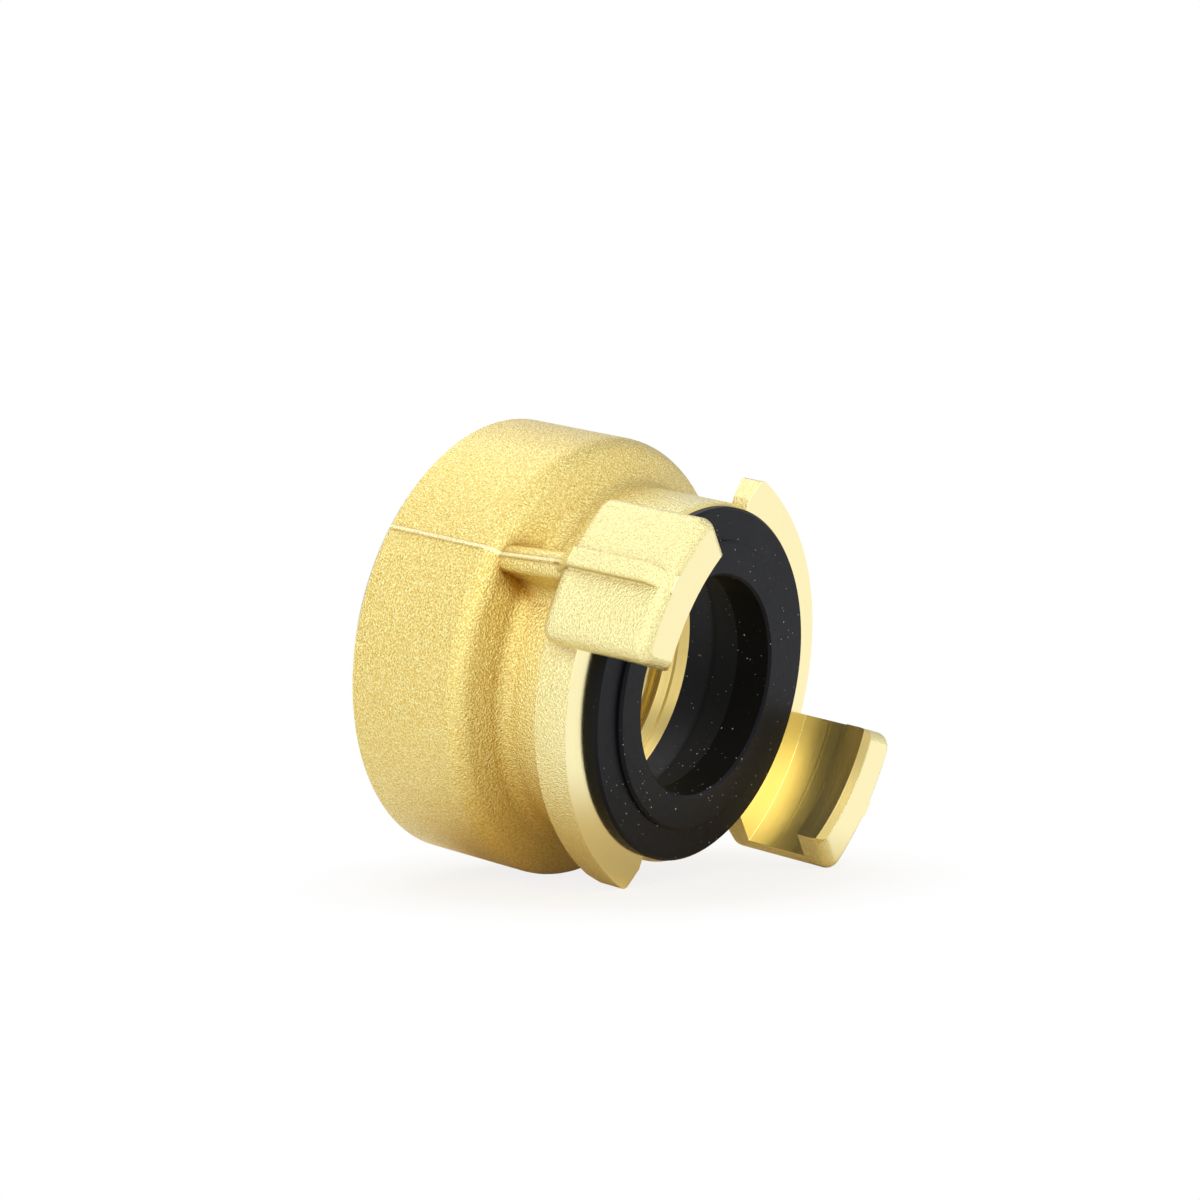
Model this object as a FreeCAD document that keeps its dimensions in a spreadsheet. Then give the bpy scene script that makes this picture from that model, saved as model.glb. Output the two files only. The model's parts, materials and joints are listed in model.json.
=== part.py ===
"""Claw coupling with a female pipe thread: a forged and turned brass body and its rubber seal.

Both pieces are drawn upright: the coupling's axis is Z, the machined coupling face is z = 0, the
claws point up and the threaded barrel is below. Their Placement then lays them on the ground as
the loose coupling comes to rest, on its barrel, the corner of one claw and the tip of one wing.
All lengths are in millimetres and all angles in degrees.
"""
import FreeCAD, Part
import math
import os
import Sketcher
from FreeCAD import Placement, Rotation, Vector

os.makedirs("parts", exist_ok=True)
doc = FreeCAD.newDocument("claw_coupling")

# Driving dimensions. A depth is measured back from the coupling face, a reach forward of it.
SIZES = {
    # Barrel around the thread, sloping shoulder, and neck behind the face
    "barrel_dia": 42.3,
    "barrel_depth": 24.2,
    "barrel_end_chamfer": 0.5,
    "shoulder_depth": 11.5,
    "shoulder_slope": 30,
    "shoulder_round_share": 0.284,
    "neck_dia": 34.2,
    "neck_round_share": 0.222,
    "face_chamfer": 0.4,
    # Two claws, which clear the wings of the other coupling
    "claw_clearance": 1.05,
    "claw_wall": 2.15,
    "claw_angle": 39,
    "claw_reach": 9.1,
    "claw_back_depth": 2.3,
    "claw_back_draft": 14,
    "claw_side_round": 1.6,
    "claw_back_round": 1.3,
    "claw_front_round": 1.2,
    # Hook at the tip of each claw
    "hook_overhang": 2.925,
    "hook_reach": 6.4,
    "hook_chamfer": 0.65,
    # Two wings, thickest at the claw: the back is the ramp that the other coupling's hooks climb
    "wing_dia": 39.9,
    "wing_thickness": 3.8,
    "wing_rise": 0.7,
    "wing_end_angle": 105,
    "wing_flare_start": 76,
    "wing_flare_dia": 51,
    "wing_flare_angle": 20,
    "wing_tip_round": 0.9,
    "lead_in_angle": 10,
    "lead_in_rise": 1.3,
    # Rib over each claw, web behind it, and the seam left where the forging dies met
    "rib_width": 1.9,
    "rib_height": 0.75,
    "rib_slope_length": 2.2,
    "rib_foot_round": 0.35,
    "rib_foot_sink": 0.1,
    "rib_crest_round": 0.35,
    "web_width": 2.7,
    "web_shoulder_drop": 0.8,
    "web_claw_drop": 1.2,
    "web_depth": 11.9,
    "web_foot_round": 2.0,
    "web_foot_sink": 0.4,
    "web_crest_round": 0.8,
    "seam_width": 0.3,
    "seam_height": 0.12,
    # Turned inside: seal seat with its undercut, waterway and thread
    "seat_dia": 30.2,
    "seat_chamfer": 0.3,
    "undercut_dia": 31.8,
    "undercut_depth": 6.6,
    "seat_depth": 9.9,
    "waterway_dia": 28.4,
    "waterway_depth": 11.7,
    "thread_major_dia": 33.25,
    "thread_minor_dia": 30.3,
    "thread_length": 9.0,
    "thread_chamfer": 0.6,
    # Lip seal
    "seal_flange_dia": 33.5,
    "seal_flange_thickness": 0.95,
    "seal_step_dia": 27.3,
    "seal_lip_height": 1.45,
    "seal_bore_dia": 20.8,
    "seal_lip_depth": 2.3,
    "seal_groove_dia": 21.8,
    "seal_band_dia": 23.6,
    "seal_band_depth": 5.7,
    "seal_skirt_dia": 24.9,
    "seal_foot_dia": 26.5,
    "seal_edge_chamfer": 0.25,
    "seal_clearance": 0.1,
}

# What is added to the wall starts this deep in it, and what is cut away starts this far outside
BITE = 1.5

dim = doc.addObject("Spreadsheet::Sheet", "dim")
for row, (alias, number) in enumerate(SIZES.items(), start=1):
    dim.set(f"A{row}", alias)
    dim.set(f"B{row}", str(number))
    dim.setAlias(f"B{row}", alias)
doc.recompute()


def value(expression):
    """The number that an expression of the sheet's sizes gives."""
    result = dim.evalExpression(expression)
    return float(getattr(result, "Value", result))


def around(diameter, angle, middle=("0", "0")):
    """Both coordinates of a point on a circle, seen along the axis."""
    return (f"{middle[0]} + ({diameter}) / 2 * cos({angle})",
            f"{middle[1]} + ({diameter}) / 2 * sin({angle})")


def draw(body, name, corners, plane="XZ_Plane", arcs={}, turned="0", lifted="0"):
    """A closed outline with each corner given as two expressions.

    On XZ_Plane they are the distance from the axis and the height, and turned is the angle of the
    sketch round the axis. On XY_Plane lifted is its height. A side whose number is in arcs is an
    arc round the middle given there.
    """
    sketch = body.newObject("Sketcher::SketchObject", name)
    base = next(item for item in body.Origin.OriginFeatures if item.Role == plane)
    sketch.AttachmentSupport = (base, [""])
    sketch.MapMode = "FlatFace"
    if turned != "0":
        sketch.AttachmentOffset = Placement(Vector(), Rotation(Vector(0, 1, 0), value(turned)))
        sketch.setExpression("AttachmentOffset.Rotation.Angle", turned)
    if lifted != "0":
        sketch.AttachmentOffset = Placement(Vector(0, 0, value(lifted)), Rotation())
        sketch.setExpression("AttachmentOffset.Base.z", lifted)
    points = [Vector(*[value(place) for place in corner]) for corner in corners]
    middles = {side: Vector(*[value(place) for place in arcs[side]]) for side in arcs}
    count = len(points)
    starts, ends = [1] * count, [2] * count
    for side, start in enumerate(points):
        end = points[(side + 1) % count]
        if side in arcs:
            # An arc always runs anticlockwise, so one that bends the other way is drawn backwards
            middle = middles[side]
            if (start - middle).cross(end - middle).z < 0:
                start, end = end, start
                starts[side], ends[side] = 2, 1
            circle = Part.Circle(middle, Vector(0, 0, 1), (start - middle).Length)
            turns = [circle.parameter(point) for point in (start, end)]
            sketch.addGeometry(Part.ArcOfCircle(circle, *turns))
        else:
            sketch.addGeometry(Part.LineSegment(start, end))
    for side in range(count):
        after = (side + 1) % count
        meet = Sketcher.Constraint("Coincident", side, ends[side], after, starts[after])
        sketch.addConstraint(meet)
    for side, corner in enumerate(corners):
        ways = ["DistanceX", "DistanceY"]
        if side - 1 in arcs:
            # The end of an arc already has its distance from the middle: one coordinate places it
            spoke = points[side] - middles[side - 1]
            ways[0 if abs(spoke.x) > abs(spoke.y) else 1] = None
        bind(sketch, side, starts[side], ways, corner)
    for side, middle in arcs.items():
        bind(sketch, side, 3, ["DistanceX", "DistanceY"], middle)
    return sketch


def bind(sketch, side, point, ways, place):
    """Ties a point of one side to the expressions of its place."""
    for way, expression in zip(ways, place):
        if way:
            bound = Sketcher.Constraint(way, side, point, value(expression))
            sketch.setExpression(f"Constraints[{sketch.addConstraint(bound)}]", expression)


def shape_by(body, kind, sketch, name, **sizes):
    """A PartDesign feature made from a sketch, with its sizes bound to expressions."""
    made = body.newObject(f"PartDesign::{kind}", name)
    made.Profile = sketch
    if kind in ("Revolution", "Groove", "AdditiveHelix"):
        made.ReferenceAxis = (sketch, ["V_Axis"])
    if kind == "AdditiveHelix":
        made.Mode = "height-turns-angle"
    for size, expression in sizes.items():
        made.setExpression(size, expression)
    doc.recompute()
    return made


def opposite(body, name, *features):
    """The same features once more, half a turn round the axis."""
    made = body.newObject("PartDesign::PolarPattern", name)
    made.Originals = list(features)
    axis = next(item for item in body.Origin.OriginFeatures if item.Role == "Z_Axis")
    made.Axis = (axis, [""])
    made.Angle = 360
    made.Occurrences = 2
    body.Tip = made
    doc.recompute()


def round_edges(body, name, radius, chosen):
    """A fillet on the edges of the body for which chosen is true."""
    base = body.Tip
    edges = [f"Edge{n}" for n, edge in enumerate(base.Shape.Edges, start=1) if chosen(Spot(edge))]
    made = body.newObject("PartDesign::Fillet", name)
    made.Base = (base, edges)
    made.setExpression("Radius", radius)
    body.Tip = made
    doc.recompute()


class Spot:
    """Where the middle of an edge lies: distance from the axis, height, and place in plan."""

    def __init__(self, edge):
        point = edge.valueAt((edge.FirstParameter + edge.LastParameter) / 2)
        ends = [vertex.Point for vertex in edge.Vertexes]
        self.radius = math.hypot(point.x, point.y)
        self.height = point.z
        self.flat = max(end.z for end in ends) - min(end.z for end in ends) < 0.001

    def at(self, radius=None, height=None):
        """Whether it lies at this distance from the axis and this height, as expressions."""
        there = radius is None or abs(self.radius - value(radius)) < 0.01
        return there and (height is None or abs(self.height - value(height)) < 0.01)


# The forged blank: barrel, shoulder and neck in one solid of revolution, not yet bored
body = doc.addObject("PartDesign::Body", "coupling_body")
body.Label = "coupling_body"
barrel = "dim.barrel_dia / 2"
neck = "dim.neck_dia / 2"
shoulder_foot = f"-dim.shoulder_depth + ({barrel} - {neck}) * tan(dim.shoulder_slope)"
slope_length = f"({barrel} - {neck}) / cos(dim.shoulder_slope)"
shoulder_run = f"dim.shoulder_round_share * {slope_length}"
neck_run = f"dim.neck_round_share * {slope_length}"
shoulder_round = f"{shoulder_run} / tan(45 - dim.shoulder_slope / 2)"
neck_round = f"{neck_run} / tan(45 - dim.shoulder_slope / 2)"
seam_start = f"-dim.shoulder_depth - {shoulder_run}"
neck_start = f"{shoulder_foot} + {neck_run}"
blank_outline = draw(body, "blank_outline", [
    ("0", "-dim.barrel_depth"),
    (f"{barrel} - dim.barrel_end_chamfer", "-dim.barrel_depth"),
    (barrel, "-dim.barrel_depth + dim.barrel_end_chamfer"),
    (barrel, seam_start),
    (f"{barrel} - {shoulder_run} * cos(dim.shoulder_slope)",
     f"-dim.shoulder_depth + {shoulder_run} * sin(dim.shoulder_slope)"),
    (f"{neck} + {neck_run} * cos(dim.shoulder_slope)",
     f"{shoulder_foot} - {neck_run} * sin(dim.shoulder_slope)"),
    (neck, neck_start),
    (neck, "-dim.face_chamfer"),
    (f"{neck} - dim.face_chamfer", "0"),
    ("0", "0"),
], arcs={3: (f"{barrel} - {shoulder_round}", seam_start),
         5: (f"{neck} + {neck_round}", neck_start)})
shape_by(body, "Revolution", blank_outline, "blank")

# Wings: a section swept up a shallow helix from the middle of the claw to the lead-in, and up a
# steeper one from there to the tip, then trimmed to the outline that the wing has from the front
wing_inside = f"{neck} - {BITE}"
wing_outside = f"dim.wing_dia / 2 + 2 * {BITE}"
lead_in_start = "dim.wing_end_angle - dim.lead_in_angle"
ramp_end = "-dim.wing_thickness + dim.wing_rise"


def wing_section(name, back, turned):
    return draw(body, name, [
        (wing_inside, back),
        (wing_outside, back),
        (wing_outside, f"{BITE}"),
        (wing_inside, f"{BITE}"),
    ], turned=turned)


ramp_section = wing_section("ramp_section", "-dim.wing_thickness", "0")
ramp = shape_by(body, "AdditiveHelix", ramp_section, "ramp",
                Height="dim.wing_rise", Turns=f"({lead_in_start}) / 360")
lead_in_section = wing_section("lead_in_section", ramp_end, lead_in_start)
lead_in = shape_by(body, "AdditiveHelix", lead_in_section, "lead_in",
                   Height="dim.lead_in_rise", Turns="dim.lead_in_angle / 360")
flare_middle = around("dim.wing_dia - dim.wing_flare_dia", "dim.wing_flare_start")
wing_outline = [
    around("dim.wing_dia", "-dim.claw_angle / 4"),
    around("dim.wing_dia", "dim.wing_flare_start"),
    around("dim.wing_flare_dia", "dim.wing_flare_start + dim.wing_flare_angle", flare_middle),
    around(f"dim.neck_dia + {BITE} / 2", "dim.wing_end_angle + 1"),
]
trim_outline = draw(body, "trim_outline", wing_outline + [
    around("dim.wing_dia * 1.5", "dim.wing_end_angle + 15"),
    around("dim.wing_dia * 1.5", "dim.wing_end_angle / 2"),
    around("dim.wing_dia * 1.5", "-dim.claw_angle / 4"),
], plane="XY_Plane", arcs={0: ("0", "0"), 1: flare_middle})
trim = shape_by(body, "Pocket", trim_outline, "trim", Length=f"2 * (dim.wing_thickness + {BITE})")
trim.Midplane = True
opposite(body, "wings", ramp, lead_in, trim)
wing_tip = Vector(*[value(place) for place in wing_outline[2]])
round_edges(body, "wing_tips", "dim.wing_tip_round",
            lambda spot: not spot.flat and abs(spot.radius - wing_tip.Length) < 0.01)

# Claws: a sector turned about the axis, solid down to the neck until the inside is turned out
claw_inside = "dim.wing_dia / 2 + dim.claw_clearance"
claw = f"{claw_inside} + dim.claw_wall"


def claw_back(radius):
    """Height of the claw's drafted back at a distance from the axis."""
    return f"-dim.claw_back_depth - ({claw} - ({radius})) * tan(dim.claw_back_draft)"


claw_outline = draw(body, "claw_outline", [
    (wing_inside, claw_back(wing_inside)),
    (claw, claw_back(claw)),
    (claw, "dim.claw_reach"),
    (wing_inside, "dim.claw_reach"),
])
claw_sector = shape_by(body, "Revolution", claw_outline, "claw", Angle="dim.claw_angle")
claw_sector.Midplane = True
opposite(body, "claws", claw_sector)
round_edges(body, "claw_sides", "dim.claw_side_round",
            lambda spot: not spot.flat and spot.at(claw))
round_edges(body, "claw_backs", "dim.claw_back_round", lambda spot: spot.at(claw, claw_back(claw)))
round_edges(body, "claw_fronts", "dim.claw_front_round", lambda spot: spot.at(claw, "dim.claw_reach"))

# Rib, web and die seam lie in the plane through the middle of both claws
def ridge_section(ridge, name, height, top, foot_bottom, buried):
    """A rib or web seen along the axis: rounded crest, straight flanks, and feet that flare out.

    Height is the section's own. The others are distances from the axis: of the crest, of the
    ends of the feet, and of the underside, which is buried in the wall.
    """
    side = f"dim.{ridge}_width / 2"
    foot_side = f"{side} + dim.{ridge}_foot_round"
    foot_top = f"{foot_bottom} + dim.{ridge}_foot_round"
    crest_foot = f"{top} - dim.{ridge}_crest_round"
    crest_side = f"{side} - dim.{ridge}_crest_round"
    return draw(body, f"{ridge}_{name}_section", [
        (buried, f"-({foot_side})"),
        (foot_bottom, f"-({foot_side})"),
        (foot_top, f"-{side}"),
        (crest_foot, f"-{side}"),
        (top, f"-({crest_side})"),
        (top, crest_side),
        (crest_foot, side),
        (foot_top, side),
        (foot_bottom, foot_side),
        (buried, foot_side),
    ], plane="XY_Plane", lifted=height, arcs={
        1: (foot_top, f"-({foot_side})"),
        3: (crest_foot, f"-({crest_side})"),
        5: (crest_foot, crest_side),
        7: (foot_top, foot_side)})


def ridge_through(name, sections):
    """A ridge whose sides run straight from each section to the next."""
    made = body.newObject("PartDesign::AdditiveLoft", name)
    made.Profile = sections[0]
    made.Sections = sections[1:]
    made.Ruled = True
    doc.recompute()
    return made


def web_section(name, height, top):
    return ridge_section("web", name, height, top, f"{neck} - dim.web_foot_sink", wing_inside)


def rib_section(name, height, top):
    foot_bottom = f"{top} - dim.rib_height - dim.rib_foot_sink"
    return ridge_section("rib", name, height, top, foot_bottom, f"{claw} - 2 * {BITE}")


rib_top = f"{claw} + dim.rib_height"
web_back = f"{barrel} - dim.web_shoulder_drop"
web_front = f"{claw} - dim.web_claw_drop"
web = ridge_through("web", [
    web_section("back", "-dim.web_depth", web_back),
    web_section("front", f"-dim.claw_back_depth + {BITE} / 4", web_front),
])
rib = ridge_through("rib", [
    rib_section("web", "-dim.claw_back_depth - dim.rib_slope_length",
                f"{web_front} - dim.web_crest_round"),
    rib_section("back", "-dim.claw_back_depth + dim.rib_height", rib_top),
    rib_section("front", "dim.claw_reach - dim.rib_slope_length", rib_top),
    rib_section("end", "dim.claw_reach", f"{claw} - dim.claw_front_round / 2"),
])
opposite(body, "ribs_and_webs", web, rib)
seam_outline = draw(body, "seam_outline", [
    (f"{barrel} - {BITE}", "-dim.barrel_depth + dim.barrel_end_chamfer"),
    (f"{barrel} + dim.seam_height", "-dim.barrel_depth + dim.barrel_end_chamfer"),
    (f"{barrel} + dim.seam_height", seam_start),
    (f"{web_back} + dim.seam_height", "-dim.web_depth"),
    (f"{web_front} + dim.seam_height", claw_back(web_front)),
    (f"{web_front} - {BITE}", claw_back(web_front)),
    (f"{web_back} - {BITE}", "-dim.web_depth"),
])
seam = shape_by(body, "Pad", seam_outline, "seam", Length="dim.seam_width")
seam.Midplane = True
opposite(body, "seams", seam)

# The inside is turned in one set-up: hooks, coupling face, seal seat, waterway and thread bore
hook = f"{claw_inside} - dim.hook_overhang"
seat = "dim.seat_dia / 2"
undercut = "dim.undercut_dia / 2"
waterway = "dim.waterway_dia / 2"
major = "dim.thread_major_dia / 2"
minor = "dim.thread_minor_dia / 2"
thread_end = "-dim.barrel_depth + dim.thread_length"
outside = f"-dim.barrel_depth - {BITE}"
turning_outline = draw(body, "turning_outline", [
    ("0", f"dim.claw_reach + {BITE}"),
    (f"{hook} + dim.hook_chamfer + {BITE}", f"dim.claw_reach + {BITE}"),
    (hook, "dim.claw_reach - dim.hook_chamfer"),
    (hook, "dim.hook_reach"),
    (claw_inside, "dim.hook_reach"),
    (claw_inside, "0"),
    (f"{seat} + dim.seat_chamfer", "0"),
    (seat, "-dim.seat_chamfer"),
    (seat, "-dim.undercut_depth"),
    (undercut, "-dim.undercut_depth"),
    (undercut, "-dim.seat_depth"),
    (waterway, "-dim.seat_depth"),
    (waterway, "-dim.waterway_depth"),
    (minor, f"-dim.waterway_depth - ({minor} - {waterway})"),
    (minor, f"{thread_end} + ({major} - {minor})"),
    (major, thread_end),
    (major, "-dim.barrel_depth + dim.thread_chamfer"),
    (f"{major} + dim.thread_chamfer + {BITE}", outside),
    ("0", outside),
])
turned_inside = shape_by(body, "Groove", turning_outline, "turned_inside")
body.Tip = turned_inside

# Lip seal: the flange lies on the coupling face, the foot is snapped into the undercut
seal = doc.addObject("PartDesign::Body", "lip_seal")
seal.Label = "lip_seal"
seal_bore = "dim.seal_bore_dia / 2"
seal_step = "dim.seal_step_dia / 2"
seal_flange = "dim.seal_flange_dia / 2"
sleeve = f"{seat} - dim.seal_clearance"
foot = f"{undercut} - dim.seal_clearance"
foot_top = "-dim.undercut_depth - dim.seal_clearance"
groove_width = "(dim.seal_groove_dia - dim.seal_bore_dia) / 2"
skirt_step = "(dim.seal_skirt_dia - dim.seal_band_dia) / 2"
bevel = "dim.seal_edge_chamfer"
seal_outline = draw(seal, "seal_outline", [
    (sleeve, "0"),
    (seal_flange, "0"),
    (seal_flange, f"dim.seal_flange_thickness - {bevel}"),
    (f"{seal_flange} - {bevel}", "dim.seal_flange_thickness"),
    (seal_step, "dim.seal_flange_thickness"),
    (seal_step, f"dim.seal_lip_height - {bevel}"),
    (f"{seal_step} - {bevel}", "dim.seal_lip_height"),
    (f"{seal_bore} + {bevel}", "dim.seal_lip_height"),
    (seal_bore, f"dim.seal_lip_height - {bevel}"),
    (seal_bore, "-dim.seal_lip_depth"),
    ("dim.seal_groove_dia / 2", f"-dim.seal_lip_depth - {groove_width} / 2"),
    ("dim.seal_band_dia / 2", "-dim.seal_band_depth"),
    ("dim.seal_skirt_dia / 2", f"-dim.seal_band_depth - {skirt_step} / 2"),
    ("dim.seal_foot_dia / 2", "-dim.seat_depth"),
    (foot, "-dim.seat_depth"),
    (foot, foot_top),
    (sleeve, foot_top),
])
shape_by(seal, "Revolution", seal_outline, "moulding")


def resting_turn():
    """Forward tilt of the axis, and the angle round it that points up, in the loose coupling.

    It lies on three rounded places: the shoulder edge of the barrel, the outer front corner of
    one claw and the tip of the wing that reaches towards it. Up to the tilt where all three are
    level, the claw is still off the ground, so the tilt is found by halving.
    """
    edge_round = value(shoulder_round)
    edge_radius = value(barrel) - edge_round
    edge_height = value(seam_start)
    tip_round = value("dim.wing_tip_round")
    end = Vector(*[value(place) for place in wing_outline[3]])
    middle = Vector(*[value(place) for place in flare_middle])
    before = Vector(0, 0, 1).cross(middle - wing_tip).normalize()
    after = (end - wing_tip).normalize()
    inwards = (before + after).normalize()
    tip_middle = wing_tip + inwards * tip_round / math.sin(before.getAngle(inwards))
    side_round = value("dim.claw_side_round")
    front_round = value("dim.claw_front_round")
    claw_radius = value(claw) - side_round
    claw_height = value("dim.claw_reach") - front_round
    claw_turn = math.pi - math.radians(value("dim.claw_angle") / 2)
    claw_turn += math.asin(side_round / claw_radius)
    level, steep = 0, math.pi / 4
    for _ in range(50):
        tilt = (level + steep) / 2
        ground = -edge_radius * math.cos(tilt) - edge_round - edge_height * math.sin(tilt)
        reach = (ground / math.cos(tilt) + tip_round) / tip_middle.Length
        up_turn = math.atan2(tip_middle.y, tip_middle.x) - math.acos(max(reach, -1))
        out = claw_radius * math.cos(up_turn - claw_turn) - (side_round - front_round)
        corner = math.cos(tilt) * out - math.sin(tilt) * claw_height - front_round
        level, steep = (tilt, steep) if corner > ground else (level, tilt)
    return math.degrees(tilt), math.degrees(up_turn)


tilt, up_turn = resting_turn()
lying = Rotation(Vector(0, 1, 0), 90 + tilt) * Rotation(Vector(0, 0, 1), 180 - up_turn)

# The ground is z = 0, with the origin under the middle of the coupling and its axis along X
body.Placement = Placement(Vector(), lying)
seal.Placement = body.Placement
box = body.Shape.optimalBoundingBox(False)
middle = Vector((box.XMin + box.XMax) / 2, (box.YMin + box.YMax) / 2, box.ZMin)
for piece in (body, seal):
    piece.Placement = Placement(-middle, lying)
doc.recompute()

for item in doc.Objects:
    if "Invalid" in item.State or "Error" in item.State:
        raise RuntimeError(f"{item.Name} was not built: {item.State}")
for piece in (body, seal):
    if piece.Shape.isNull() or not piece.Shape.isValid():
        raise RuntimeError(f"{piece.Label} has no valid shape")
for piece in (body, seal):
    piece.Shape.exportStep(f"parts/{piece.Label}.step")
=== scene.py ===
import json
import math

import bmesh
import bpy
from mathutils import Matrix, Vector


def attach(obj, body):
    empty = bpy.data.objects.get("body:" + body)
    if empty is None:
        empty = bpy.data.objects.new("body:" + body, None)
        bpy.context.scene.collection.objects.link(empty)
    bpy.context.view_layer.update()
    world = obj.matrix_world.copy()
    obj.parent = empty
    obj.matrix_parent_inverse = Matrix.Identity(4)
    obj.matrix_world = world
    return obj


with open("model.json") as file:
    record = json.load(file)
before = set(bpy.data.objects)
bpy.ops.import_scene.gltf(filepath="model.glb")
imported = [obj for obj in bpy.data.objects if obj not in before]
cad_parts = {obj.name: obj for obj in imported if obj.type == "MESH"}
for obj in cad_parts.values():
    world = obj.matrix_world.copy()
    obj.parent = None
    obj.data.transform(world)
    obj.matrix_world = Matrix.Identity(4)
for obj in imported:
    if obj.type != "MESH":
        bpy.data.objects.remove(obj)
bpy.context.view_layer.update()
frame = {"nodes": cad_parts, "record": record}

# Coupling body: one brass forging with its two claws, two ramped wings, ribs and threaded barrel.
# The brass is stamped hot between two dies, trimmed and shot-blasted, and then the inside, the
# coupling face, the claw hooks and the barrel end are turned bright in one set-up.
MM = 0.001
FACE_MIDDLE = next(Vector(mount["pos_m"]) for mount in frame["record"]["mounts"]
                   if mount["name"] == "coupling_face")
# At rest the axis points down by the tilt, and the coupling is rolled about it by the turn
REST_TILT = 10.21565
REST_TURN = 180 + 57.96214
# Turns the drawing of the coupling, with its axis upright, to the way it lies
LYING = (Matrix.Rotation(math.radians(90 + REST_TILT), 3, "Y")
         @ Matrix.Rotation(math.radians(REST_TURN), 3, "Z"))


def colour(hex_code):
    """The linear colour of an sRGB hex value."""
    channels = [int(hex_code[at:at + 2], 16) / 255 for at in (0, 2, 4)]
    return (*[c / 12.92 if c <= 0.04045 else ((c + 0.055) / 1.055) ** 2.4 for c in channels], 1)


def add(tree, kind, inputs={}, **settings):
    """Adds a node with its settings. An input is given a value, another node's output, or another
    node, whose first output is then taken."""
    node = tree.nodes.new(kind)
    for setting, choice in settings.items():
        setattr(node, setting, choice)
    for name, source in inputs.items():
        if isinstance(source, bpy.types.Node):
            source = source.outputs[0]
        if isinstance(source, bpy.types.NodeSocket):
            tree.links.new(source, node.inputs[name])
        else:
            node.inputs[name].default_value = source
    return node


def new_material(name):
    """An empty material and its tree."""
    material = bpy.data.materials.new(name)
    material.use_nodes = True
    material.node_tree.nodes.clear()
    return material, material.node_tree


def drawing_place(tree):
    """The place in the coupling's own drawing, in mm: as a vector, as its X, Y and Z, as the
    distance from the coupling's axis, and as the height from the coupling face."""
    place = add(tree, "ShaderNodeMapping", {
        "Vector": add(tree, "ShaderNodeTexCoord").outputs["Object"],
        "Location": FACE_MIDDLE, "Rotation": LYING.to_euler(), "Scale": (MM, MM, MM),
    }, vector_type="TEXTURE")
    axes = add(tree, "ShaderNodeSeparateXYZ", {"Vector": place}).outputs
    across = add(tree, "ShaderNodeVectorMath", {0: place, 1: (1.0, 1.0, 0.0)}, operation="MULTIPLY")
    radius = add(tree, "ShaderNodeVectorMath", {0: across}, operation="LENGTH").outputs["Value"]
    return place, axes, radius, axes["Z"]


def between(tree, value, low, high, soft=0.02):
    """1 where the value lies between the two limits, with a soft step at each."""
    rise = add(tree, "ShaderNodeMapRange", {
        "Value": value, "From Min": low - soft, "From Max": low + soft})
    return add(tree, "ShaderNodeMapRange", {
        "Value": value, "From Min": high - soft, "From Max": high + soft,
        "To Min": rise, "To Max": 0.0})


# Where the turning tools have been, in mm: nearest and farthest from the axis, rear and front.
# Each zone is a little larger than the surface that it covers.
BORED_ZONES = {
    "waterway and thread": (-1.0, 16.9, -24.3, -0.04),
    "thread chamfer": (16.5, 17.4, -24.3, -23.4),
    "claw walls": (17.5, 21.04, 0.04, 6.44),
    "hook bands": (17.5, 18.13, 6.36, 8.5),
    "hook chamfers": (17.5, 18.8, 8.42, 9.05),
}
FACED_ZONES = {
    "coupling face": (-1.0, 21.04, -0.04, 0.04),
    "claw fronts": (17.5, 30.0, 9.07, 20.0),
    "barrel end": (-1.0, 30.0, -40.0, -24.17),
    "barrel end chamfer": (20.66, 21.3, -40.0, -23.7),
}
BRASS_COLOURS = {
    "grain hollows": "E1BD57",
    "grain peaks": "FBEEA6",
    # Deeper gold in the roots: painted shade, over some forging tarnish
    "roots_tarnish_and_painted_shade": "B4842A",
    # Paler neck and claws: painted highlight
    "paler_front_painted_highlight": "FEFBC6",
    # Bright die seam: painted highlight
    "die seam": "FAEDB8",
    "bored": "E6CF84",
    # The faced tint is paler than the bored one: a painted highlight on the same turned brass
    "faced_with_painted_highlight": "FFF3BC",
}
# Roughness where the pattern of the finish is lowest and where it is highest
BRASS_ROUGHNESS = {"blasted": (0.27, 0.2), "bored": (0.26, 0.38), "faced_with_painted_highlight": (0.12, 0.2)}

# Shot-blast grain: real shot leaves dimples of 0.1 to 0.2 mm, drawn at 0.2 mm so that they show.
# A spread is where nearly all of a noise's values lie.
GRAIN_PER_MM = 5.6
DIMPLES_PER_MM = 5.2
DIMPLE_SHARE = 0.4
GRAIN_DEPTH = 0.13
GRAIN_SPREAD = (0.34, 0.66)
# Turning rings: the tool moves on by about 0.12 mm a turn. The rings are a noise of 0.2 mm and
# finer that hardly changes along the tool's path, and they are deeper where it bored.
RINGS_PER_MM = 5.0
RING_STRETCH = 0.004
RING_DEPTH = 0.05
RING_SHARE_BORED = 0.4
RING_SHARE_FACED = 0.12
RING_SPREAD = (0.3, 0.7)
# Roots: how far round it a place looks for metal, in mm, and the shares of open space that it
# finds where the painted shade of deeper gold is deepest and where it ends
ROOT_REACH = 2.4
ROOT_DEEPEST = 0.6
ROOT_EDGE = 0.96
# Painted highlight: neck and claws grow paler from the one height to the other, in mm from the
# coupling face
PAINTED_HIGHLIGHT_REAR = -9.0
PAINTED_HIGHLIGHT_FRONT = -1.0
PAINTED_HIGHLIGHT_SHARE = 0.5
# The line of the forging dies, in mm from their plane and from the coupling face
SEAM_HALF = 0.2
SEAM_SOFTNESS = 0.05
SEAM_REAR = -24.0
SEAM_FRONT = -4.5


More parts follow.
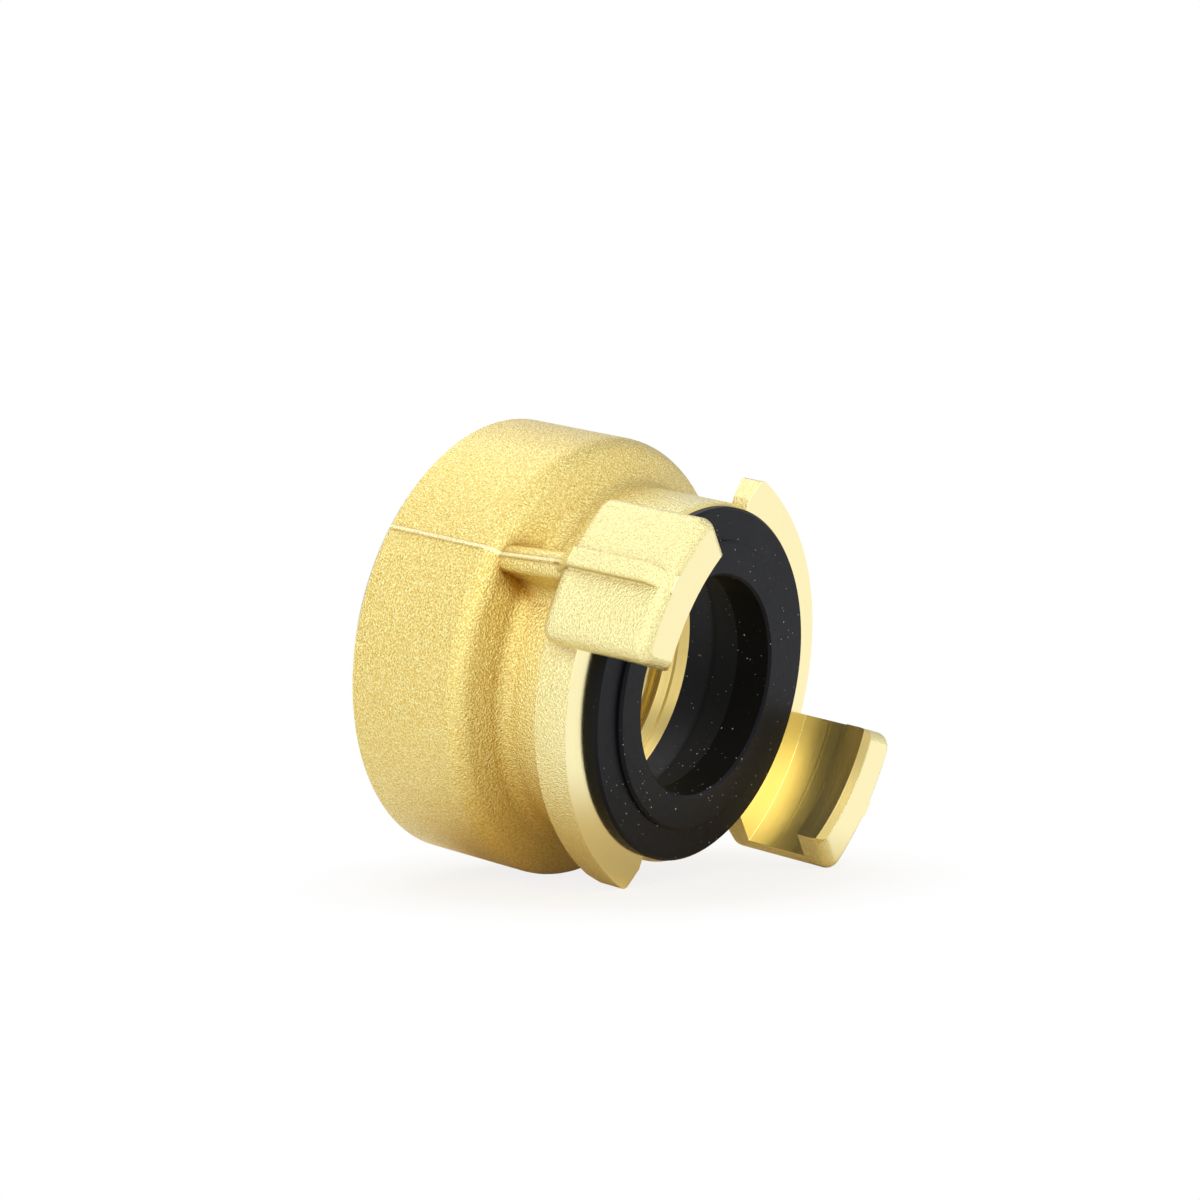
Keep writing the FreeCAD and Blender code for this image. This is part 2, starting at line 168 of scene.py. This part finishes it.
def brass(name):
    """Brass, shot-blasted where it is as forged, and bright with fine rings where it is turned."""
    material, tree = new_material(name)
    place, axes, radius, height = drawing_place(tree)
    reached = []
    for zones in (BORED_ZONES, FACED_ZONES):
        inside = 0.0
        for nearest, farthest, rear, front in zones.values():
            zone = add(tree, "ShaderNodeMath", {
                0: between(tree, radius, nearest, farthest), 1: between(tree, height, rear, front),
            }, operation="MULTIPLY")
            inside = add(tree, "ShaderNodeMath", {0: inside, 1: zone}, operation="MAXIMUM")
        reached.append(inside)
    bored, faced_with_painted_highlight = reached
    turned = add(tree, "ShaderNodeMath", {0: bored, 1: faced_with_painted_highlight}, operation="MAXIMUM")

    grain = add(tree, "ShaderNodeTexNoise", {
        "Vector": place, "Scale": GRAIN_PER_MM, "Detail": 2.0, "Roughness": 0.6,
        "Distortion": 0.2})
    dimples = add(tree, "ShaderNodeTexVoronoi", {"Vector": place, "Scale": DIMPLES_PER_MM},
                  feature="SMOOTH_F1")
    blasted_height = add(tree, "ShaderNodeMath", {
        0: dimples.outputs["Distance"], 1: DIMPLE_SHARE, 2: grain}, operation="MULTIPLY_ADD")
    blasted_bump = add(tree, "ShaderNodeBump", {
        "Height": blasted_height, "Distance": GRAIN_DEPTH * MM, "Strength": 1.0})

    path = add(tree, "ShaderNodeCombineXYZ", {
        "X": add(tree, "ShaderNodeMath", {0: radius, 1: height}),
        "Y": add(tree, "ShaderNodeMath", {0: axes["X"], 1: RING_STRETCH}, operation="MULTIPLY")})
    rings = add(tree, "ShaderNodeTexNoise", {
        "Vector": path, "Scale": RINGS_PER_MM, "Detail": 4.0, "Roughness": 0.7})
    ring_share = add(tree, "ShaderNodeMapRange", {
        "Value": faced_with_painted_highlight, "To Min": RING_SHARE_BORED, "To Max": RING_SHARE_FACED})
    turned_bump = add(tree, "ShaderNodeBump", {
        "Height": rings, "Distance": RING_DEPTH * MM, "Strength": ring_share})

    # The shot burnishes the grain's peaks. The deeper gold in the roots is painted shade from an
    # occlusion test, over some real forging tarnish
    peak = add(tree, "ShaderNodeMapRange", {
        "Value": grain, "From Min": GRAIN_SPREAD[0], "From Max": GRAIN_SPREAD[1]})
    open_share = add(tree, "ShaderNodeAmbientOcclusion", {"Distance": ROOT_REACH * MM},
                     samples=16, only_local=True).outputs["AO"]
    root = add(tree, "ShaderNodeMapRange", {
        "Value": open_share, "From Min": ROOT_DEEPEST, "From Max": ROOT_EDGE,
        "To Min": 1.0, "To Max": 0.0})
    # Neck and claws are painted paler than the barrel: a painted highlight
    paler_front_painted_highlight = add(tree, "ShaderNodeMapRange", {
        "Value": height, "From Min": PAINTED_HIGHLIGHT_REAR, "From Max": PAINTED_HIGHLIGHT_FRONT,
        "To Min": 0.0, "To Max": PAINTED_HIGHLIGHT_SHARE})
    # The line where the forging dies met is painted narrow and bright: a painted highlight
    seam_painted_highlight = add(tree, "ShaderNodeMath", {
        0: between(tree, axes["Y"], -SEAM_HALF, SEAM_HALF, SEAM_SOFTNESS),
        1: between(tree, height, SEAM_REAR, SEAM_FRONT)}, operation="MULTIPLY")
    tint = colour(BRASS_COLOURS["grain hollows"])
    for share, finish in ((peak, "grain peaks"), (root, "roots_tarnish_and_painted_shade"), (paler_front_painted_highlight, "paler_front_painted_highlight"),
                          (seam_painted_highlight, "die seam"), (bored, "bored"), (faced_with_painted_highlight, "faced_with_painted_highlight")):
        tint = add(tree, "ShaderNodeMix", {
            0: share, 6: tint, 7: colour(BRASS_COLOURS[finish])}, data_type="RGBA").outputs[2]

    rough = {}
    for finish, pattern, spread in (("blasted", grain, GRAIN_SPREAD), ("bored", rings, RING_SPREAD),
                                    ("faced_with_painted_highlight", rings, RING_SPREAD)):
        rough[finish] = add(tree, "ShaderNodeMapRange", {
            "Value": pattern, "From Min": spread[0], "From Max": spread[1],
            "To Min": BRASS_ROUGHNESS[finish][0], "To Max": BRASS_ROUGHNESS[finish][1]})
    unfaced_rough = add(tree, "ShaderNodeMix", {0: bored, 2: rough["blasted"], 3: rough["bored"]})
    roughness = add(tree, "ShaderNodeMix", {0: faced_with_painted_highlight, 2: unfaced_rough, 3: rough["faced_with_painted_highlight"]})
    bump = add(tree, "ShaderNodeMix", {0: turned, 4: blasted_bump, 5: turned_bump},
               data_type="VECTOR")
    shader = add(tree, "ShaderNodeBsdfPrincipled", {
        "Base Color": tint, "Metallic": 1.0, "Roughness": roughness, "Normal": bump.outputs[1]})
    add(tree, "ShaderNodeOutputMaterial", {"Surface": shader})
    return material


def dress(node, material):
    """Gives a CAD node its one material."""
    slots = frame["nodes"][node].data.materials
    slots.clear()
    slots.append(material)


forged_brass = brass("forged_brass_blasted_and_turned")
dress("coupling_body", forged_brass)

# Pipe thread: a 1 inch parallel thread of 11 turns to the inch, cut in the bore with a
# single-point tool. The body's bore has the thread's largest diameter, and this ridge, of about
# 55 degrees between its flanks, winds along it and runs out at both ends.

# In mm, as radii from the axis and heights from the coupling face
THREAD_PITCH = 25.4 / 11
THREAD_OUTSIDE = 16.67
THREAD_INSIDE = 15.17
THREAD_FIRST = -23.75
THREAD_LAST = -15.35
THREAD_STEPS_PER_TURN = 72
# As shares of the pitch
THREAD_FOOT = 0.84
THREAD_CREST = 0.19
THREAD_ROUND = 0.1
# How far from the middle of its length, as a share of it, the ridge starts to run out, and what
# share of its depth is left at its ends
RUN_OUT_FROM = 0.41
RUN_OUT_LEFT = 0.03


def geometry_tree(name, inputs):
    """A geometry tree with named number inputs, and one for the material."""
    tree = bpy.data.node_groups.new(name, "GeometryNodeTree")
    tree.interface.new_socket("Geometry", in_out="OUTPUT", socket_type="NodeSocketGeometry")
    sockets = {}
    for label, number in inputs.items():
        socket = tree.interface.new_socket(label, in_out="INPUT", socket_type="NodeSocketFloat")
        socket.default_value = number
        sockets[label] = socket.identifier
    socket = tree.interface.new_socket(
        "Material", in_out="INPUT", socket_type="NodeSocketMaterial")
    sockets["Material"] = socket.identifier
    return tree, sockets


thread_sizes = {
    "Pitch": THREAD_PITCH * MM, "Outside": THREAD_OUTSIDE * MM, "Inside": THREAD_INSIDE * MM,
    "First": THREAD_FIRST * MM, "Last": THREAD_LAST * MM}
thread_tree, thread_sockets = geometry_tree("thread_ridge", thread_sizes)
given = add(thread_tree, "NodeGroupInput").outputs
length = add(thread_tree, "ShaderNodeMath", {0: given["Last"], 1: given["First"]},
             operation="SUBTRACT")
turns = add(thread_tree, "ShaderNodeMath", {0: length, 1: given["Pitch"]}, operation="DIVIDE")
winding = add(thread_tree, "GeometryNodeCurveSpiral", {
    "Resolution": THREAD_STEPS_PER_TURN, "Rotations": turns, "Start Radius": given["Outside"],
    "End Radius": given["Outside"], "Height": length})
upright = add(thread_tree, "GeometryNodeSetCurveNormal", {"Curve": winding}, mode="Z_UP")
# The ridge grows to its full depth over the first third of a turn, and ends as it began
along = add(thread_tree, "GeometryNodeSplineParameter").outputs["Factor"]
from_middle = add(thread_tree, "ShaderNodeMath", {
    0: add(thread_tree, "ShaderNodeMath", {0: along, 1: 0.5}, operation="SUBTRACT")},
    operation="ABSOLUTE")
depth_share = add(thread_tree, "ShaderNodeMapRange", {
    "Value": from_middle, "From Min": RUN_OUT_FROM, "From Max": 0.5,
    "To Min": 1.0, "To Max": RUN_OUT_LEFT})
depth = add(thread_tree, "ShaderNodeMath", {0: given["Outside"], 1: given["Inside"]},
            operation="SUBTRACT")
foot_width, crest_width, flank_round = [
    add(thread_tree, "ShaderNodeMath", {0: given["Pitch"], 1: share}, operation="MULTIPLY")
    for share in (THREAD_FOOT, THREAD_CREST, THREAD_ROUND)]
section = add(thread_tree, "GeometryNodeCurvePrimitiveQuadrilateral", {
    "Height": depth, "Bottom Width": foot_width, "Top Width": crest_width, "Offset": 0.0},
    mode="TRAPEZOID")
rounded = add(thread_tree, "GeometryNodeFilletCurve", {
    "Curve": section, "Radius": flank_round, "Count": 4}, mode="POLY")
# The section's foot lies on the winding, and its crest points to the axis
inwards = add(thread_tree, "ShaderNodeCombineXYZ", {
    "X": add(thread_tree, "ShaderNodeMath", {0: depth, 1: 0.5}, operation="MULTIPLY")})
section_placed = add(thread_tree, "GeometryNodeTransform", {
    "Geometry": rounded, "Translation": inwards, "Rotation": (0.0, 0.0, math.radians(-90))})
ridge = add(thread_tree, "GeometryNodeCurveToMesh", {
    "Curve": upright, "Profile Curve": section_placed, "Scale": depth_share, "Fill Caps": True})
start = add(thread_tree, "ShaderNodeCombineXYZ", {"Z": given["First"]})
ridge_placed = add(thread_tree, "GeometryNodeTransform", {
    "Geometry": ridge, "Translation": start})
ridge_real = add(thread_tree, "GeometryNodeRealizeInstances", {"Geometry": ridge_placed})
ridge_brass = add(thread_tree, "GeometryNodeSetMaterial", {
    "Geometry": ridge_real, "Material": given["Material"]})
add(thread_tree, "NodeGroupOutput", {"Geometry": ridge_brass})


def new_object(name, data):
    """An object of the scene with a mesh, a lamp or a camera in it."""
    made = bpy.data.objects.new(name, data)
    bpy.context.scene.collection.objects.link(made)
    return made


def make_piece(name, tree, sockets, sizes, material):
    """Runs a geometry tree once and keeps its result as a plain mesh, laid as the coupling lies."""
    maker = new_object(name + "_maker", bpy.data.meshes.new(name + "_maker"))
    modifier = maker.modifiers.new("make", "NODES")
    modifier.node_group = tree
    for label, number in sizes.items():
        modifier[sockets[label]] = number
    modifier[sockets["Material"]] = material
    evaluated = maker.evaluated_get(bpy.context.evaluated_depsgraph_get())
    mesh = bpy.data.meshes.new_from_object(evaluated)
    maker.modifiers.clear()
    bpy.data.objects.remove(maker)
    mesh.transform(Matrix.Translation(FACE_MIDDLE) @ LYING.to_4x4())
    shell = bmesh.new()
    shell.from_mesh(mesh)
    bmesh.ops.remove_doubles(shell, verts=shell.verts, dist=0.0001 * MM)
    bmesh.ops.recalc_face_normals(shell, faces=shell.faces)
    shell.to_mesh(mesh)
    shell.free()
    return new_object(name, mesh)


thread_ridge = make_piece("thread_ridge", thread_tree, thread_sockets, thread_sizes, forged_brass)
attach(thread_ridge, "root")

# Lip seal: a black rubber moulding whose flange lies on the coupling face and whose foot is
# snapped into the groove behind it. Pressed rubber is satin, a little uneven, and holds dust.
# The sleeve colour is painted shade inside the bore
RUBBER_COLOURS = {"blackest": "0B0C11", "palest": "15171E", "sleeve": "030302",
                  "brass dust": "B89B5C", "lint": "D4D6DA"}
SATIN_ROUGHNESS = (0.36, 0.46)
SLEEVE_ROUGHNESS = 0.6
RUBBER_SPECULAR = 0.13
# The inside of the sleeve, in mm, as the zones of the brass are
SLEEVE_ZONE = (-1.0, 12.6, -20.0, 1.2)
SLEEVE_SOFTNESS = 0.05
# Skin: unevenness of 0.6 mm, and patches of about 8 mm that are a little paler and dustier
SKIN_PER_MM = 1.6
SKIN_DEPTH = 0.02
SKIN_SPREAD = (0.3, 0.7)
PATCHES_PER_MM = 0.12
PATCH_SPREAD = (0.42, 0.62)
# Dust: about half of the cells hold a speck, of 0.2 mm across at most. Sizes are shares of a cell.
CELLS_PER_MM = 2.4
EMPTY_CELLS = 0.45
LARGEST_SPECK = 0.24
CLEAN_PATCH_SHARE = 0.35


def rubber(name):
    """Moulded black rubber: satin and dusty on the flange and lip, duller inside the sleeve."""
    material, tree = new_material(name)
    place, _, radius, height = drawing_place(tree)
    skin = add(tree, "ShaderNodeTexNoise", {
        "Vector": place, "Scale": SKIN_PER_MM, "Detail": 4.0, "Roughness": 0.6})
    patches = add(tree, "ShaderNodeTexNoise", {
        "Vector": place, "Scale": PATCHES_PER_MM, "Detail": 3.0, "Roughness": 0.5})

    specks = add(tree, "ShaderNodeTexVoronoi", {
        "Vector": place, "Scale": CELLS_PER_MM, "Randomness": 1.0})
    chance = add(tree, "ShaderNodeSeparateColor", {"Color": specks.outputs["Color"]})
    size = add(tree, "ShaderNodeMapRange", {
        "Value": chance, "From Min": EMPTY_CELLS, "From Max": 1.0,
        "To Min": 0.0, "To Max": LARGEST_SPECK})
    thick = add(tree, "ShaderNodeMapRange", {
        "Value": patches, "From Min": PATCH_SPREAD[0], "From Max": PATCH_SPREAD[1],
        "To Min": CLEAN_PATCH_SHARE, "To Max": 1.0})
    reach = add(tree, "ShaderNodeMath", {0: size, 1: thick}, operation="MULTIPLY")
    dust = add(tree, "ShaderNodeMath", {0: specks.outputs["Distance"], 1: reach},
               operation="LESS_THAN")
    dust_colour = add(tree, "ShaderNodeMix", {
        0: chance.outputs[1], 6: colour(RUBBER_COLOURS["brass dust"]),
        7: colour(RUBBER_COLOURS["lint"])}, data_type="RGBA").outputs[2]

    # The inside of the sleeve is as it left the mould, duller than the wiped lip; its blacker
    # colour is painted shade in the bore
    nearest, farthest, rear, front = SLEEVE_ZONE
    sleeve = add(tree, "ShaderNodeMath", {
        0: between(tree, radius, nearest, farthest, SLEEVE_SOFTNESS),
        1: between(tree, height, rear, front, SLEEVE_SOFTNESS)}, operation="MULTIPLY")
    tint = colour(RUBBER_COLOURS["blackest"])
    for share, over in ((patches, colour(RUBBER_COLOURS["palest"])),
                        (sleeve, colour(RUBBER_COLOURS["sleeve"])), (dust, dust_colour)):
        tint = add(tree, "ShaderNodeMix", {0: share, 6: tint, 7: over},
                   data_type="RGBA").outputs[2]
    satin = add(tree, "ShaderNodeMapRange", {
        "Value": skin, "From Min": SKIN_SPREAD[0], "From Max": SKIN_SPREAD[1],
        "To Min": SATIN_ROUGHNESS[0], "To Max": SATIN_ROUGHNESS[1]})
    roughness = add(tree, "ShaderNodeMix", {0: sleeve, 2: satin, 3: SLEEVE_ROUGHNESS})
    bump = add(tree, "ShaderNodeBump", {
        "Height": skin, "Distance": SKIN_DEPTH * MM, "Strength": 0.4})
    shader = add(tree, "ShaderNodeBsdfPrincipled", {
        "Base Color": tint, "Roughness": roughness, "IOR": 1.5,
        "Specular IOR Level": RUBBER_SPECULAR, "Normal": bump})
    add(tree, "ShaderNodeOutputMaterial", {"Surface": shader})
    return material


dress("lip_seal", rubber("black_rubber_moulded"))

# Studio: a white sweep that the coupling lies on, four softboxes round it, and an even pale room.
# None of it is part of the object.
FLOOR_HALF = 4.0
PAPER_COLOUR = "E6E6E6"
# Warm tint of the paper near the part: painted glow of light from the brass
PAINTED_GLOW_COLOUR = "E0CBA0"
# Distances from the middle of the part over which its painted glow fades and the paper turns
# plain white
PAINTED_GLOW_FADES = (16 * MM, 34 * MM)
PAPER_WHITENS = (20 * MM, 34 * MM)
# How white the paper is beside the part, to the camera and in a mirror. The rest is lit paper.
WHITE_SEEN = 0.84
WHITE_MIRRORED = 0.05
# Strength of the room to the camera, in a mirror or through glass, and as light
ROOM_SEEN = 1.0
ROOM_MIRRORED = 0.6
ROOM_LIGHT = 0.6
# Place, width, height and brightness, which is the radiance of the softbox's front
SOFTBOXES = {
    "softbox_front_right": ((0.38, -0.32, 0.50), 0.60, 0.60, 1.50),
    "softbox_back_left": ((-0.38, 0.14, 0.56), 0.75, 0.60, 1.10),
    "softbox_right": ((0.50, 0.40, 0.30), 0.60, 0.50, 0.85),
    "softbox_front_left": ((-0.08, -0.66, 0.24), 0.70, 0.50, 1.20),
}
SOFTBOX_AIM = Vector((0.0, 0.0, 0.02))
# The photograph's camera: its place in metres, turns in degrees, and lens and sensor in mm
CAMERA_PLACE = (0.188315, -0.266795, 0.040341)
CAMERA_TURNS = (87.5389, 1.2109, 35.5696)
CAMERA_LENS = 104.07
CAMERA_SENSOR = 36.0


def seen_rays(tree):
    """1 for the camera's rays, and 1 for all rays that show a surface: the camera's, those in a
    mirror and those through glass."""
    path = add(tree, "ShaderNodeLightPath").outputs
    mirrored = add(tree, "ShaderNodeMath", {
        0: path["Is Glossy Ray"], 1: path["Is Transmission Ray"]}, operation="MAXIMUM")
    seen = add(tree, "ShaderNodeMath", {0: path["Is Camera Ray"], 1: mirrored}, operation="MAXIMUM")
    return path["Is Camera Ray"], seen


def white_paper(name):
    """Matt white paper that keeps the coupling's shadow and looks plain white farther off."""
    material, tree = new_material(name)
    direct, seen = seen_rays(tree)
    place = add(tree, "ShaderNodeTexCoord").outputs["Object"]
    distance = add(tree, "ShaderNodeVectorMath", {0: place}, operation="LENGTH").outputs["Value"]
    near_white = add(tree, "ShaderNodeMapRange", {
        "Value": direct, "To Min": WHITE_MIRRORED, "To Max": WHITE_SEEN})
    white_share = add(tree, "ShaderNodeMapRange", {
        "Value": distance, "From Min": PAPER_WHITENS[0], "From Max": PAPER_WHITENS[1],
        "To Min": near_white, "To Max": 1.0})
    shown = add(tree, "ShaderNodeMath", {0: seen, 1: white_share}, operation="MULTIPLY")
    # The paper near the part is tinted warm: a painted glow of light thrown back by the brass
    painted_glow = add(tree, "ShaderNodeMapRange", {
        "Value": distance, "From Min": PAINTED_GLOW_FADES[0], "From Max": PAINTED_GLOW_FADES[1],
        "To Min": 1.0, "To Max": 0.0})
    paper_tint = add(tree, "ShaderNodeMix", {
        0: painted_glow, 6: colour(PAPER_COLOUR), 7: colour(PAINTED_GLOW_COLOUR)}, data_type="RGBA")
    paper = add(tree, "ShaderNodeBsdfDiffuse", {"Color": paper_tint.outputs[2]})
    white = add(tree, "ShaderNodeEmission", {"Color": (1, 1, 1, 1), "Strength": 1.0})
    shader = add(tree, "ShaderNodeMixShader", {0: shown, 1: paper, 2: white})
    add(tree, "ShaderNodeOutputMaterial", {"Surface": shader})
    return material


floor_mesh = bpy.data.meshes.new("floor")
floor_mesh.from_pydata([(x * FLOOR_HALF, y * FLOOR_HALF, 0.0)
                        for x, y in ((-1, -1), (1, -1), (1, 1), (-1, 1))], [], [(0, 1, 2, 3)])
floor_mesh.materials.append(white_paper("white_paper_sweep"))
floor = new_object("floor", floor_mesh)

world = bpy.data.worlds.new("studio_room")
bpy.context.scene.world = world
world.use_nodes = True
room = world.node_tree
room.nodes.clear()
room_direct, room_seen = seen_rays(room)
room_off_camera = add(room, "ShaderNodeMix", {0: room_seen, 2: ROOM_LIGHT, 3: ROOM_MIRRORED})
room_strength = add(room, "ShaderNodeMix", {0: room_direct, 2: room_off_camera, 3: ROOM_SEEN})
room_shader = add(room, "ShaderNodeBackground", {"Color": (1, 1, 1, 1), "Strength": room_strength})
add(room, "ShaderNodeOutputWorld", {"Surface": room_shader})

for name, (place, width, height, brightness) in SOFTBOXES.items():
    lamp = bpy.data.lights.new(name, "AREA")
    lamp.shape = "RECTANGLE"
    lamp.size = width
    lamp.size_y = height
    lamp.energy = brightness * math.pi * width * height
    softbox = new_object(name, lamp)
    softbox.location = place
    softbox.rotation_euler = (SOFTBOX_AIM - Vector(place)).to_track_quat("-Z", "Y").to_euler()

camera_lens = bpy.data.cameras.new("photograph_camera")
camera_lens.sensor_width = CAMERA_SENSOR
camera_lens.lens = CAMERA_LENS
camera = new_object("photograph_camera", camera_lens)
camera.location = CAMERA_PLACE
camera.rotation_euler = [math.radians(turn) for turn in CAMERA_TURNS]
bpy.context.scene.camera = camera
bpy.context.scene.view_settings.view_transform = "Standard"
